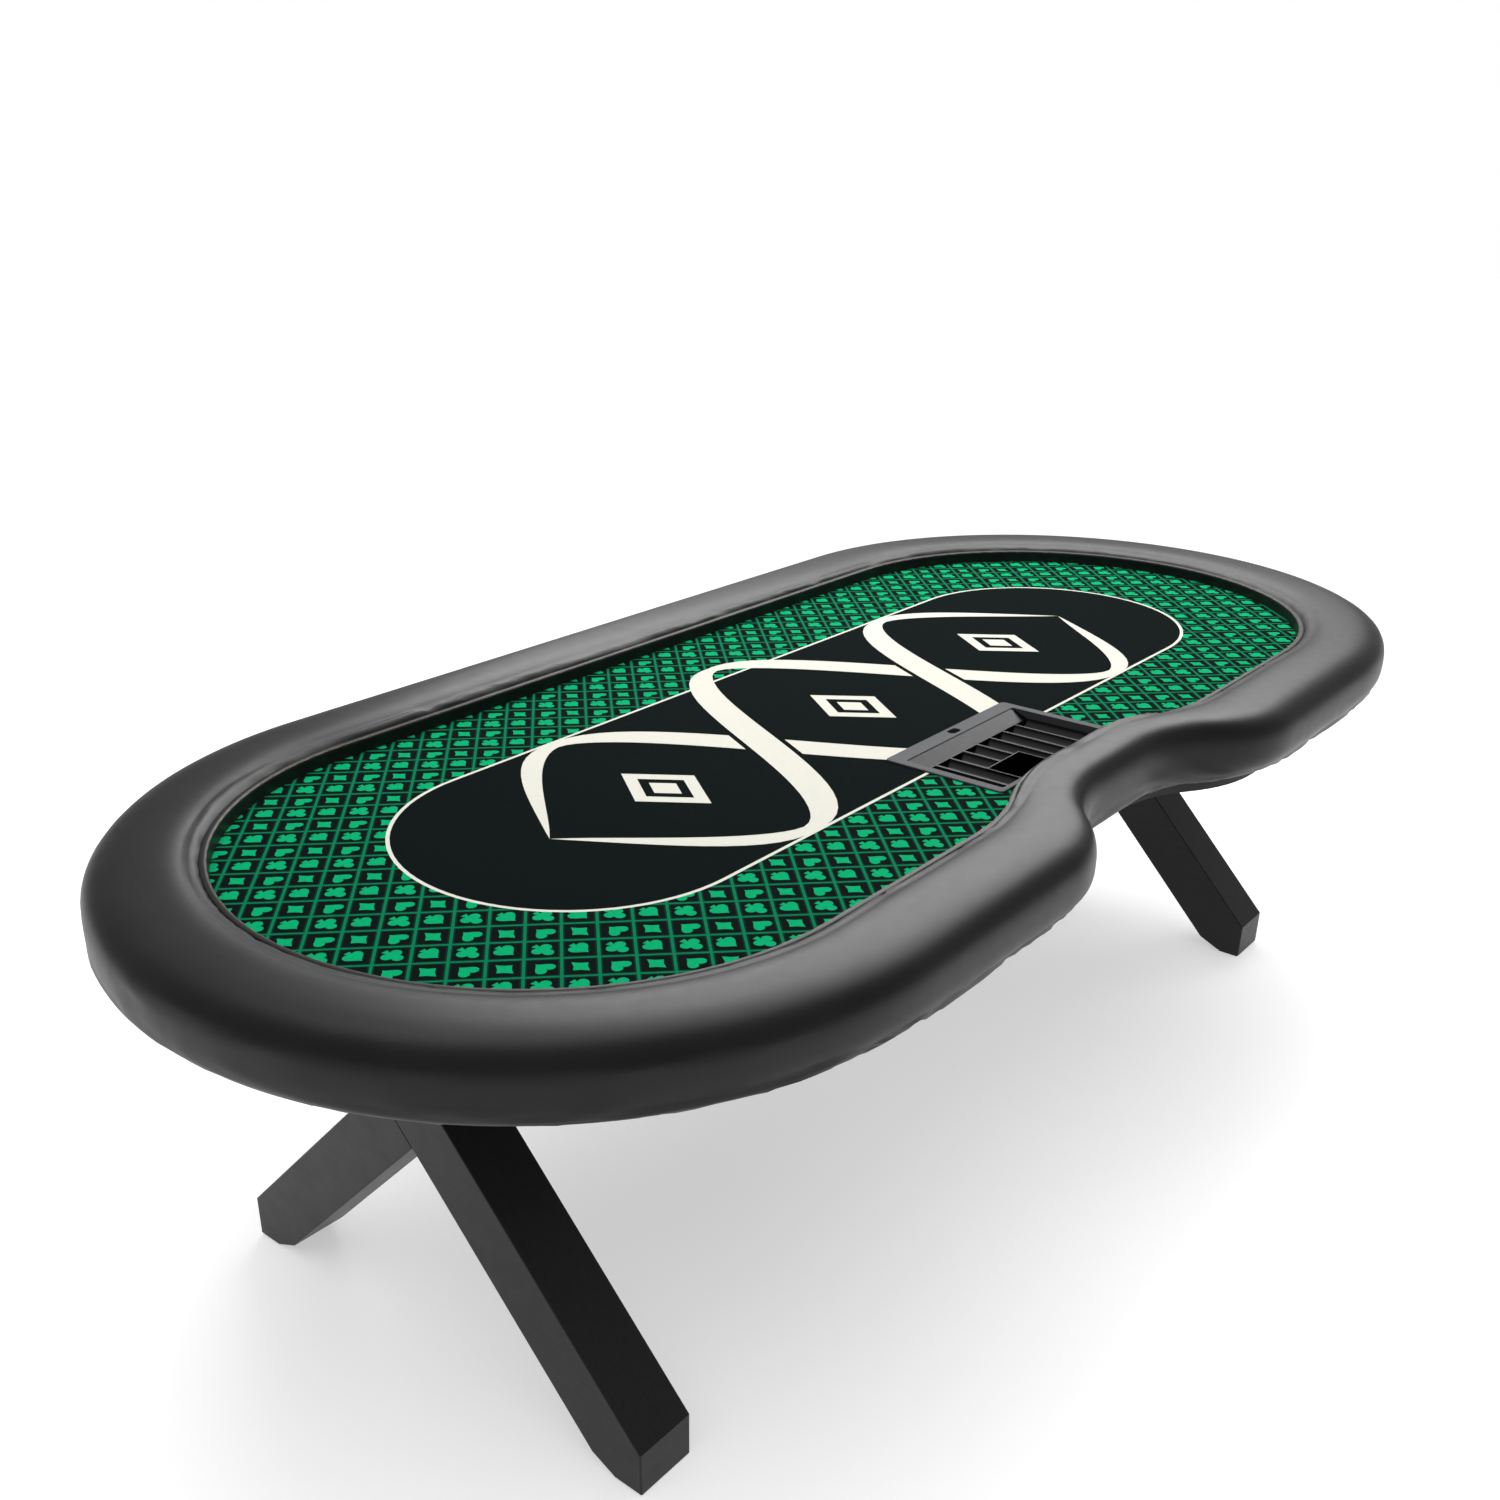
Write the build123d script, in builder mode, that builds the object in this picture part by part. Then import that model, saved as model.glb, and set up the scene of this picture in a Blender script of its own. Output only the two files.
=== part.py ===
from build123d import *
import math
import os

os.makedirs("parts", exist_ok=True)

# Oval card table for ten players and a dealer.
# Millimetres, Z up, origin on the floor under the middle of the cloth.
# X is the long way of the table, and the dealer stands on the -Y side.

# overall
table_length = 2600
table_width = 1210
cloth_height = 700
rail_top = 740
rail_bottom = 631

# plan of the padded rail: two straight sides and two half-round ends
rail_width = 156
rail_line = table_width / 2 - rail_width / 2
end_centre = table_length / 2 - table_width / 2

# dealer's bay: the rail swings in with two S curves, more outside than inside
bay_half_flat = 70
bay_run = 290
bay_depth_inside = 60
bay_depth_outside = 115

# boards and layers
board_thickness = 18
cover_thickness = 1.5
cloth_thickness = 1
foam_sheet_thickness = 5
trim_thickness = 8.5
trim_cover_thickness = 1
trim_height_over_cloth = 22
playfield_gap = 1

# padded roll
roll_outside = rail_width / 2
roll_inside = -69.5
rail_base_outside = 20
roll_top_outer_radius = 56
roll_top_inner_radius = 36
roll_bottom_radius = 36
core_height = 41

# base board under the table top
base_board_reach = 22
base_board_top = rail_bottom
base_board_bottom = base_board_top - board_thickness

# chip tray
tray_flange_half_width = 174
tray_flange_front = -181
tray_flange_back = -383
tray_flange_thickness = 2.5
tray_lift_gap = 0.3
tray_opening_half_width = 158.5
tray_opening_front = -209
tray_opening_back = -375
tray_wall = 3
tray_corner = 8
row_count = 8
row_pitch = 39.5
row_radius = 20
row_chord = 35
row_shell = 2.5
ridge_drop = 12
deck_well_centre_x = -35
deck_well_width = 96
deck_well_front = -304
deck_well_depth = 46
lock_slot_length = 26
lock_slot_width = 15
lock_slot_y = -195
cutout_margin = 2

# legs: two crossed frames of square timber
timber = 95
leg_angle = 46
leg_face_x = 980
crossing_height = 415
foot_reach = 400
foot_pad_thickness = 3
heel_height = 18
heel_run = 40
cleat_thickness = 20
cleat_half_length = 290
cleat_outside = 10
cleat_inside = 66
timber_edge = 2.5
stretcher_width = 60
stretcher_height = 90
bracket_leg = 58
bracket_width = 50
bracket_plate = 4
bracket_middle_y = 147
bracket_hole_step = 13
bracket_hole_inset = 36

# fasteners
cross_bolt_radius = 6
rail_bolt_radius = 4
rail_bolt_line = -25
screw_radius = 2.25
screw_head_radius = 4.6
screw_head_depth = 3
lag_radius = 3.5

playfield_edge = roll_inside - trim_thickness - trim_cover_thickness - playfield_gap
playfield_top = cloth_height - cloth_thickness - foam_sheet_thickness
playfield_bottom = playfield_top - board_thickness
cleat_bottom = base_board_bottom - cleat_thickness
leg_inner_face_x = leg_face_x - timber
leg_middle_x = leg_face_x - timber / 2


def plan_face(reach):
    """Plan of the table at a distance outside the rail's middle line."""
    side = rail_line + reach
    share = (reach + rail_width / 2) / rail_width
    depth = bay_depth_inside + (bay_depth_outside - bay_depth_inside) * share
    swing = 2 * math.degrees(math.atan(depth / bay_run))
    radius = bay_run / (2 * math.sin(math.radians(swing)))
    bay_start = bay_half_flat + bay_run
    with BuildSketch() as plan:
        with BuildLine():
            front_left = Line((-end_centre, -side), (-bay_start, -side))
            into_bay = JernArc(front_left @ 1, (1, 0), radius, swing)
            level_out = JernArc(into_bay @ 1, into_bay % 1, radius, -swing)
            bay_floor = Line(level_out @ 1, (bay_half_flat, -side + depth))
            out_of_bay = JernArc(bay_floor @ 1, (1, 0), radius, -swing)
            back_on_line = JernArc(out_of_bay @ 1, out_of_bay % 1, radius, swing)
            front_right = Line(back_on_line @ 1, (end_centre, -side))
            right_end = JernArc(front_right @ 1, (1, 0), side, 180)
            rear = Line(right_end @ 1, (-end_centre, side))
            JernArc(rear @ 1, (-1, 0), side, 180)
        make_face()
    return plan.sketch_local


def roll_solid(shrink):
    """The roll's full shape, smaller all round by shrink."""
    with BuildPart() as roll:
        with BuildSketch(Plane.XY.offset(rail_bottom + shrink)):
            add(plan_face(roll_outside - shrink))
            add(plan_face(roll_inside + shrink), mode=Mode.SUBTRACT)
        extrude(amount=rail_top - rail_bottom - 2 * shrink)
        top = roll.faces().sort_by(Axis.Z)[-1]
        fillet(top.outer_wire().edges(), roll_top_outer_radius - shrink)
        top = roll.faces().sort_by(Axis.Z)[-1]
        fillet(top.inner_wires()[0].edges(), roll_top_inner_radius - shrink)
        bottom = roll.faces().sort_by(Axis.Z)[0]
        fillet(bottom.outer_wire().edges(), roll_bottom_radius - shrink)
    return roll.part


def ring_solid(outside, inside, bottom, top):
    """A flat ring that follows the table's plan."""
    with BuildPart() as ring:
        with BuildSketch(Plane.XY.offset(bottom)):
            add(plan_face(outside))
            add(plan_face(inside), mode=Mode.SUBTRACT)
        extrude(amount=top - bottom)
    return ring.part


def write(part, label):
    part.label = label
    export_step(part, f"parts/{label}.step")


def rail_bolt_places():
    """Middles of the bolts that hold the rail down, all round the table."""
    line = rail_line + rail_bolt_line
    places = [(x, line) for x in (-600, -200, 200, 600)]
    places += [(x, -line) for x in (-640, -430, 430, 640)]
    for side in (-1, 1):
        for angle in (-45, 0, 45):
            turn = math.radians(angle)
            places.append((side * (end_centre + line * math.cos(turn)), line * math.sin(turn)))
    return places


# ---------------------------------------------------------------- table top

# chip tray's outline where it passes through the playfield
cutout_width = 2 * (tray_opening_half_width + tray_wall + cutout_margin)
cutout_front = tray_opening_front + tray_wall + cutout_margin
cutout_back = tray_opening_back - tray_wall - cutout_margin
cutout_length = cutout_front - cutout_back
cutout_centre = (0, (cutout_front + cutout_back) / 2)


def top_layer(edge, bottom, thickness):
    """One sheet of the playing surface with the tray's cut-out."""
    with BuildPart() as layer:
        with BuildSketch(Plane.XY.offset(bottom)):
            add(plan_face(edge))
            with Locations(cutout_centre):
                RectangleRounded(cutout_width, cutout_length, tray_corner, mode=Mode.SUBTRACT)
        extrude(amount=thickness)
    return layer


cross_batten_places = {
    "end_batten_left": (-1010, 290),
    "cross_batten_left": (-620, 370),
    "tray_batten_left": (-200, 365),
    "tray_batten_right": (200, 365),
    "cross_batten_right": (620, 370),
    "end_batten_right": (1010, 290),
}
batten_width = 30
side_batten_middle = 405
side_battens = {
    "rear_side_batten": (0, side_batten_middle, 1180),
    "front_side_batten_left": (-530, -side_batten_middle, 260),
    "front_side_batten_right": (530, -side_batten_middle, 260),
}
playfield_screw_places = []
batten_screw_places = []
for x, half_length in cross_batten_places.values():
    for y in (-half_length + 40, half_length - 40):
        playfield_screw_places.append((x, y))
        batten_screw_places.append((x, y))
for x, y, length in side_battens.values():
    for step in (-1, 1):
        batten_screw_places.append((x + step * (length / 2 - 30), y))

playfield_board = top_layer(playfield_edge, playfield_bottom, board_thickness)
with playfield_board:
    with Locations(*[(x, y, playfield_top) for x, y in playfield_screw_places]):
        CounterSinkHole(screw_radius, screw_head_radius, counter_sink_angle=90)
write(playfield_board.part, "playfield_board")

playfield_foam = top_layer(playfield_edge, playfield_top, foam_sheet_thickness)
write(playfield_foam.part, "playfield_foam")

speed_cloth = top_layer(playfield_edge + 0.5, cloth_height - cloth_thickness, cloth_thickness)
write(speed_cloth.part, "speed_cloth")

# straight battens carry the playfield on the base board
for name, (x, half_length) in cross_batten_places.items():
    with BuildPart() as batten:
        with BuildSketch(Plane.XY.offset(base_board_top)):
            with Locations((x, 0)):
                Rectangle(batten_width, 2 * half_length)
        extrude(amount=playfield_bottom - base_board_top)
        with Locations(*[(x, y, playfield_bottom) for y in (-half_length + 40, half_length - 40)]):
            Hole(screw_radius)
    write(batten.part, name)

for name, (x, y, length) in side_battens.items():
    with BuildPart() as batten:
        with BuildSketch(Plane.XY.offset(base_board_top)):
            with Locations((x, y)):
                Rectangle(length, batten_width)
        extrude(amount=playfield_bottom - base_board_top)
        with Locations(*[(x + step * (length / 2 - 30), y, playfield_bottom) for step in (-1, 1)]):
            Hole(screw_radius)
    write(batten.part, name)

cleat_screw_places = []
bracket_cleat_places = []
bracket_face_places = []
for side in (-1, 1):
    for y in (-265, -60, 60, 265):
        for inset in (12, 57):
            cleat_screw_places.append((side * (leg_face_x - inset), y))
    for way in (-1, 1):
        for step in (-bracket_hole_step, bracket_hole_step):
            bracket_y = way * bracket_middle_y + step
            bracket_cleat_places.append((side * (leg_inner_face_x - bracket_hole_inset), bracket_y))
            bracket_face_places.append((side, bracket_y))

with BuildPart() as base_board:
    with BuildSketch(Plane.XY.offset(base_board_bottom)):
        add(plan_face(base_board_reach))
    extrude(amount=board_thickness)
    with Locations(*[(x, y, base_board_top) for x, y in rail_bolt_places()]):
        Hole(rail_bolt_radius + 0.5)
    with Locations(*[Location((x, y, base_board_bottom), (180, 0, 0)) for x, y in batten_screw_places]):
        CounterSinkHole(screw_radius, screw_head_radius, counter_sink_angle=90)
    with Locations(*[(x, y, base_board_bottom + 12) for x, y in cleat_screw_places]):
        Hole(screw_radius, depth=14)
    with Locations(*[(x, y, base_board_bottom + 12) for x, y in bracket_cleat_places]):
        Hole(lag_radius, depth=14)
write(base_board.part, "base_board")

# ---------------------------------------------------------------- padded rail

rail_base_inside = roll_inside + cover_thickness
nut_flange_radius = 11
nut_flange_thickness = 1.5
nut_barrel_radius = 5.2
nut_barrel_length = 12
rail_base_top = rail_bottom + board_thickness
rail_base_ring = ring_solid(rail_base_outside, rail_base_inside, rail_bottom, rail_base_top)

with BuildPart() as rail_base:
    add(rail_base_ring)
    with Locations(*[(x, y, rail_base_top) for x, y in rail_bolt_places()]):
        CounterBoreHole(nut_barrel_radius, nut_flange_radius, nut_flange_thickness)
write(rail_base.part, "rail_base")

core_top = rail_base_top + core_height
core_ring = ring_solid(rail_base_outside, rail_base_inside, rail_base_top, core_top)
with BuildPart() as rail_foam_core:
    add(core_ring)
write(rail_foam_core.part, "rail_foam_core")

roll_inner_shape = roll_solid(cover_thickness)
with BuildPart() as rail_foam_roll:
    add(roll_inner_shape)
    add(rail_base_ring, mode=Mode.SUBTRACT)
    add(core_ring, mode=Mode.SUBTRACT)
write(rail_foam_roll.part, "rail_foam_roll")

with BuildPart() as rail_cover:
    add(roll_solid(0))
    add(roll_inner_shape, mode=Mode.SUBTRACT)
    with BuildSketch(Plane.XY.offset(rail_bottom)):
        add(plan_face(rail_base_outside))
        add(plan_face(roll_inside), mode=Mode.SUBTRACT)
    extrude(amount=cover_thickness, mode=Mode.SUBTRACT)
write(rail_cover.part, "rail_cover")

# upright board that closes the roll's inner side down to the cloth
trim_bottom = rail_bottom + 6
trim_top = cloth_height + trim_height_over_cloth
with BuildPart() as inner_trim_board:
    with BuildSketch(Plane.XY.offset(trim_bottom)):
        add(plan_face(roll_inside - 0.05))
        add(plan_face(roll_inside - trim_thickness), mode=Mode.SUBTRACT)
    extrude(amount=trim_top - trim_cover_thickness - trim_bottom)
write(inner_trim_board.part, "inner_trim_board")

with BuildPart() as inner_trim_cover:
    with BuildSketch(Plane.XY.offset(trim_bottom)):
        add(plan_face(roll_inside - 0.05))
        add(plan_face(roll_inside - trim_thickness - trim_cover_thickness), mode=Mode.SUBTRACT)
    extrude(amount=trim_top - trim_bottom)
    add(inner_trim_board.part, mode=Mode.SUBTRACT)
write(inner_trim_cover.part, "inner_trim_cover")

washer_thickness = 1.6
hex_head_height = 5.5
hex_head_radius = 7.5
with BuildPart() as rail_bolts:
    with BuildSketch(Plane.XY.offset(base_board_bottom - washer_thickness - hex_head_height)):
        with Locations(*rail_bolt_places()):
            RegularPolygon(hex_head_radius, 6)
    extrude(amount=hex_head_height)
    with BuildSketch(Plane.XY.offset(base_board_bottom - washer_thickness)):
        with Locations(*rail_bolt_places()):
            Circle(rail_bolt_radius)
    extrude(amount=rail_base_top - base_board_bottom + washer_thickness - 1)
write(rail_bolts.part, "rail_bolts")

with BuildPart() as rail_washers:
    with BuildSketch(Plane.XY.offset(base_board_bottom - washer_thickness)):
        with Locations(*rail_bolt_places()):
            Circle(12)
            Circle(rail_bolt_radius + 0.3, mode=Mode.SUBTRACT)
    extrude(amount=washer_thickness)
write(rail_washers.part, "rail_washers")

with BuildPart() as rail_t_nuts:
    with BuildSketch(Plane.XY.offset(rail_base_top - nut_flange_thickness)):
        with Locations(*rail_bolt_places()):
            Circle(nut_flange_radius - 0.1)
    extrude(amount=nut_flange_thickness)
    with BuildSketch(Plane.XY.offset(rail_base_top - nut_barrel_length)):
        with Locations(*rail_bolt_places()):
            Circle(nut_barrel_radius - 0.1)
    extrude(amount=nut_barrel_length - nut_flange_thickness)
    with Locations(*[(x, y, rail_base_top) for x, y in rail_bolt_places()]):
        Hole(rail_bolt_radius + 0.05)
write(rail_t_nuts.part, "rail_t_nuts")

# ---------------------------------------------------------------- screws


def wood_screws(places, head_height, length, points_up):
    """Countersunk screws, heads flush at head_height."""
    way = 1 if points_up else -1
    turn = (0, 0, 0) if points_up else (180, 0, 0)
    with BuildPart() as screws:
        for x, y in places:
            with Locations(Location((x, y, head_height), turn)):
                Cone(
                    screw_head_radius - 0.1,
                    screw_radius - 0.1,
                    screw_head_depth - 0.6,
                    align=(Align.CENTER, Align.CENTER, Align.MIN),
                )
                Cylinder(
                    screw_radius - 0.1,
                    length,
                    align=(Align.CENTER, Align.CENTER, Align.MIN),
                )
    return screws.part


playfield_screw_length = 40
batten_screw_length = 38
cleat_screw_length = 32
playfield_screws = wood_screws(playfield_screw_places, playfield_top, playfield_screw_length, False)
write(playfield_screws, "playfield_screws")

batten_screws = wood_screws(batten_screw_places, base_board_bottom, batten_screw_length, True)
write(batten_screws, "batten_screws")

# ---------------------------------------------------------------- legs

lag_depth = 40
bracket_face_height = cleat_bottom - bracket_hole_inset
slope = math.radians(leg_angle)
half_rise = timber / 2 / math.cos(slope)
upper_at_middle = crossing_height + half_rise
lower_at_middle = crossing_height - half_rise


def beam_face(way):
    """Side view of one beam, foot on the +Y side for way 1 and on the -Y side for way -1."""
    fall = math.tan(slope)
    heel_y = (lower_at_middle - foot_pad_thickness - heel_height) / fall
    points = [
        ((lower_at_middle - cleat_bottom) / fall, cleat_bottom),
        ((upper_at_middle - cleat_bottom) / fall, cleat_bottom),
        (foot_reach, upper_at_middle - foot_reach * fall),
        (foot_reach, foot_pad_thickness),
        (heel_y + heel_run, foot_pad_thickness),
        (heel_y, foot_pad_thickness + heel_height),
    ]
    with BuildSketch() as face:
        with BuildLine():
            Polyline(*[(way * y, z) for y, z in points], close=True)
        make_face()
    return face.sketch_local


def beam(side, way):
    """One beam of a crossed frame, with its half of the lap joint at the crossing."""
    left_x = side * leg_middle_x - timber / 2
    keeps_low_x = way * side > 0
    lap_x = left_x + timber / 2 if keeps_low_x else left_x
    with BuildPart() as piece:
        with BuildSketch(Plane.YZ.offset(left_x)):
            add(beam_face(way))
        extrude(amount=timber)
        ends = piece.faces().sort_by(Axis.X)
        fillet(ends[0].edges() + ends[-1].edges(), timber_edge)
        with BuildSketch(Plane.YZ.offset(lap_x)):
            add(beam_face(-way))
        extrude(amount=timber / 2, mode=Mode.SUBTRACT)
        with Locations(Location((side * leg_middle_x, 0, crossing_height), (0, 90, 0))):
            Cylinder(cross_bolt_radius + 0.3, timber + 2, mode=Mode.SUBTRACT)
        lag_middle_x = side * (leg_inner_face_x + lag_depth / 2)
        for bracket_side, y in bracket_face_places:
            if bracket_side == side:
                with Locations(Location((lag_middle_x, y, bracket_face_height), (0, 90, 0))):
                    Cylinder(lag_radius, lag_depth, mode=Mode.SUBTRACT)
    return piece.part


leg_names = {
    (-1, -1): "left_frame_front_beam",
    (-1, 1): "left_frame_rear_beam",
    (1, -1): "right_frame_front_beam",
    (1, 1): "right_frame_rear_beam",
}
for (side, way), name in leg_names.items():
    write(beam(side, way), name)

foot_middle = (foot_reach + heel_run + (lower_at_middle - foot_pad_thickness - heel_height) / math.tan(slope)) / 2
foot_flat = 2 * (foot_reach - foot_middle)
pad_inset = 3
with BuildPart() as foot_pads:
    with BuildSketch():
        for side in (-1, 1):
            for way in (-1, 1):
                with Locations((side * leg_middle_x, way * foot_middle)):
                    Rectangle(timber - 2 * pad_inset, foot_flat - 2 * pad_inset)
    extrude(amount=foot_pad_thickness)
write(foot_pads.part, "foot_pads")

for side, name in ((-1, "left_leg_cleat"), (1, "right_leg_cleat")):
    inner_x = leg_inner_face_x - cleat_inside
    outer_x = leg_face_x + cleat_outside
    with BuildPart() as cleat:
        with BuildSketch(Plane.XY.offset(cleat_bottom)):
            with Locations((side * (inner_x + outer_x) / 2, 0)):
                Rectangle(outer_x - inner_x, 2 * cleat_half_length)
        extrude(amount=cleat_thickness)
        edges = cleat.faces().sort_by(Axis.Z)[0].edges()
        chamfer(edges, 2)
        screw_spots = [(x, y) for x, y in cleat_screw_places if x * side > 0]
        with Locations(*[Location((x, y, cleat_bottom), (180, 0, 0)) for x, y in screw_spots]):
            CounterSinkHole(screw_radius, screw_head_radius, counter_sink_angle=90)
        with Locations(*[(x, y, base_board_bottom) for x, y in bracket_cleat_places if x * side > 0]):
            Hole(lag_radius)
    write(cleat.part, name)

cleat_screws = wood_screws(cleat_screw_places, cleat_bottom, cleat_screw_length, True)
write(cleat_screws, "cleat_screws")

# bent steel brackets tie each beam's top end to its cleat
with BuildPart() as leg_brackets:
    with BuildSketch(Plane.XY.offset(cleat_bottom - bracket_plate)):
        for side in (-1, 1):
            for way in (-1, 1):
                with Locations((side * (leg_inner_face_x - bracket_leg / 2), way * bracket_middle_y)):
                    Rectangle(bracket_leg, bracket_width)
    extrude(amount=bracket_plate)
    with BuildSketch(Plane.XY.offset(cleat_bottom - bracket_leg)):
        for side in (-1, 1):
            for way in (-1, 1):
                with Locations((side * (leg_inner_face_x - bracket_plate / 2), way * bracket_middle_y)):
                    Rectangle(bracket_plate, bracket_width)
    extrude(amount=bracket_leg - bracket_plate)
    with Locations(*[(x, y, cleat_bottom) for x, y in bracket_cleat_places]):
        Hole(lag_radius + 0.3, depth=bracket_plate + 1)
    for side, y in bracket_face_places:
        plate_middle_x = side * (leg_inner_face_x - bracket_plate / 2)
        with Locations(Location((plate_middle_x, y, bracket_face_height), (0, 90, 0))):
            Cylinder(lag_radius + 0.3, bracket_plate + 2, mode=Mode.SUBTRACT)
write(leg_brackets.part, "leg_brackets")

lag_head_radius = 6.4
lag_head_height = 4.5
with BuildPart() as bracket_lag_screws:
    with BuildSketch(Plane.XY.offset(cleat_bottom - bracket_plate - lag_head_height)):
        with Locations(*bracket_cleat_places):
            RegularPolygon(lag_head_radius, 6)
    extrude(amount=lag_head_height)
    with BuildSketch(Plane.XY.offset(cleat_bottom - bracket_plate)):
        with Locations(*bracket_cleat_places):
            Circle(lag_radius - 0.1)
    extrude(amount=bracket_plate + cleat_thickness + 10)
    for side in (-1, 1):
        spots = [(y, bracket_face_height) for bracket_side, y in bracket_face_places if bracket_side == side]
        plate_x = side * (leg_inner_face_x - bracket_plate)
        with BuildSketch(Plane.YZ.offset(plate_x)):
            with Locations(*spots):
                RegularPolygon(lag_head_radius, 6)
        extrude(amount=-side * lag_head_height)
        with BuildSketch(Plane.YZ.offset(plate_x)):
            with Locations(*spots):
                Circle(lag_radius - 0.1)
        extrude(amount=side * (bracket_plate + lag_depth - 2))
write(bracket_lag_screws.part, "bracket_lag_screws")

# a stretcher joins the two crossed frames, drawn tight by one long bolt at each end
bolt_grip = 80
barrel_nut_inset = 55
barrel_nut_radius = 8
barrel_nut_length = 46
cross_washer_thickness = 2.5
cross_washer_radius = 18
with BuildPart() as stretcher:
    with BuildSketch(Plane.YZ.offset(-leg_inner_face_x)):
        with Locations((0, crossing_height)):
            Rectangle(stretcher_width, stretcher_height)
    extrude(amount=2 * leg_inner_face_x)
    fillet(stretcher.edges().filter_by(Axis.X), timber_edge)
    for side in (-1, 1):
        bore_middle_x = side * (leg_inner_face_x - bolt_grip / 2 - 2)
        with Locations(Location((bore_middle_x, 0, crossing_height), (0, 90, 0))):
            Cylinder(cross_bolt_radius + 0.3, bolt_grip + 6, mode=Mode.SUBTRACT)
        nut_x = side * (leg_inner_face_x - barrel_nut_inset)
        with Locations(Location((nut_x, 0, crossing_height), (90, 0, 0))):
            Cylinder(barrel_nut_radius + 0.1, stretcher_width + 2, mode=Mode.SUBTRACT)
write(stretcher.part, "stretcher")

with BuildPart() as barrel_nuts:
    for side in (-1, 1):
        nut_x = side * (leg_inner_face_x - barrel_nut_inset)
        with Locations(Location((nut_x, 0, crossing_height), (90, 0, 0))):
            Cylinder(barrel_nut_radius, barrel_nut_length)
        with Locations(Location((nut_x, 0, crossing_height), (0, 90, 0))):
            Cylinder(cross_bolt_radius + 0.05, 3 * barrel_nut_radius, mode=Mode.SUBTRACT)
write(barrel_nuts.part, "barrel_nuts")

bolt_head_radius = 14
bolt_head_height = 6
with BuildPart() as cross_bolts:
    for side in (-1, 1):
        head_x = side * (leg_face_x + cross_washer_thickness)
        with BuildSketch(Plane.YZ.offset(head_x)):
            with Locations((0, crossing_height)):
                Circle(bolt_head_radius)
        extrude(amount=side * bolt_head_height)
        rim = cross_bolts.faces().sort_by(Axis.X)[-1 if side > 0 else 0].edges()
        fillet(rim, bolt_head_height - 1)
        with BuildSketch(Plane.YZ.offset(head_x)):
            with Locations((0, crossing_height)):
                Circle(cross_bolt_radius)
        extrude(amount=-side * (cross_washer_thickness + timber + bolt_grip))
write(cross_bolts.part, "cross_bolts")

with BuildPart() as cross_washers:
    for side in (-1, 1):
        with BuildSketch(Plane.YZ.offset(side * leg_face_x)):
            with Locations((0, crossing_height)):
                Circle(cross_washer_radius)
                Circle(cross_bolt_radius + 0.4, mode=Mode.SUBTRACT)
        extrude(amount=side * cross_washer_thickness)
write(cross_washers.part, "cross_washers")

# ---------------------------------------------------------------- chip tray

flange_bottom = cloth_height + tray_lift_gap
flange_top = flange_bottom + tray_flange_thickness
frame_wall_bottom = flange_top - 30
ridge_top = flange_top - ridge_drop
opening_centre = (0, (tray_opening_front + tray_opening_back) / 2)
opening_width = 2 * tray_opening_half_width
opening_length = tray_opening_front - tray_opening_back
opening_corner = tray_corner - tray_wall

with BuildPart() as tray_frame:
    with BuildSketch(Plane.XY.offset(flange_bottom)):
        with Locations((0, (tray_flange_front + tray_flange_back) / 2)):
            RectangleRounded(2 * tray_flange_half_width, tray_flange_front - tray_flange_back, tray_corner)
    extrude(amount=tray_flange_thickness)
    fillet(tray_frame.faces().sort_by(Axis.Z)[-1].edges(), 1.2)
    with BuildSketch(Plane.XY.offset(frame_wall_bottom)):
        with Locations(opening_centre):
            RectangleRounded(opening_width + 2 * tray_wall, opening_length + 2 * tray_wall, tray_corner)
    extrude(amount=flange_bottom - frame_wall_bottom)
    with BuildSketch(Plane.XY.offset(frame_wall_bottom)):
        with Locations(opening_centre):
            RectangleRounded(opening_width, opening_length, opening_corner)
    extrude(amount=flange_top - frame_wall_bottom, mode=Mode.SUBTRACT)
    with BuildSketch(Plane.XY.offset(flange_bottom)):
        with Locations((0, lock_slot_y)):
            SlotOverall(lock_slot_length, lock_slot_width)
    extrude(amount=tray_flange_thickness, mode=Mode.SUBTRACT)
write(tray_frame.part, "tray_frame")

# half-round rows for the chips, run from front to back
row_axis = ridge_top + math.sqrt(row_radius**2 - (row_chord / 2) ** 2)
row_bottom = row_axis - row_radius - row_shell
apron_run = 27
rows_front = tray_opening_front - apron_run
insert_edge = 0.1
insert_half_width = tray_opening_half_width - insert_edge
row_middles = [((i - (row_count - 1) / 2) * row_pitch, row_axis) for i in range(row_count)]
deck_well_back = tray_opening_back + row_shell
deck_well_length = deck_well_front - deck_well_back
deck_well_centre = (deck_well_centre_x, (deck_well_front + deck_well_back) / 2)

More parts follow.
